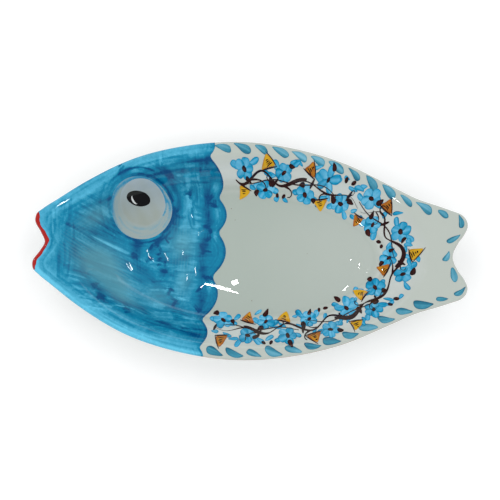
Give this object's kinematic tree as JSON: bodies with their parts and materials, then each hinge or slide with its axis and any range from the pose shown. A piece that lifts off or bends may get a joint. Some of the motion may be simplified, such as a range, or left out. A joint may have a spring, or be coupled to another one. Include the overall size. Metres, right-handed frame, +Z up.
{
  "type": "fish shaped serving platter",
  "caption": "Fish shaped serving platter in painted earthenware: an oval well with a flat floor, a sloping flange with a notched mouth and tail, and an oval foot ring.",
  "frame": {"origin": "centre of the platter's bounding box, at the bottom of the foot ring", "axes": "+X from the mouth to the tail, +Y from the belly to the back of the fish, +Z up"},
  "size_m": [0.4302, 0.22, 0.0504],
  "materials": {
    "white_glaze": "glossy white glaze, thin and brownish along the lip",
    "bare_clay": "unglazed fired clay, matt",
    "blue_wash": "turquoise brushed wash under a glossy glaze, uneven",
    "red_paint": "red brushed line under a glossy glaze",
    "pale_wash": "very thin blue wash over white under a glossy glaze",
    "eye_white": "bare white glaze, glossy",
    "black_paint": "black paint under a glossy glaze",
    "blue_paint": "light blue brush strokes under a glossy glaze",
    "brown_paint": "dark brown brush lines under a glossy glaze",
    "ochre_paint": "ochre to yellow brush strokes under a glossy glaze"
  },
  "bodies": {
    "root": {"dish": "white_glaze", "foot_ring": "bare_clay", "head_wash": "blue_wash", "lip_line": "red_paint", "eye_ring": "pale_wash", "eye_white": "eye_white", "eye_pupil": "black_paint", "border_strokes": "blue_paint", "blossoms": "blue_paint", "leaves": "blue_paint", "blossom_centres": "brown_paint", "vine": "brown_paint", "berries": "brown_paint", "buds": "ochre_paint"}
  },
  "joints": []
}
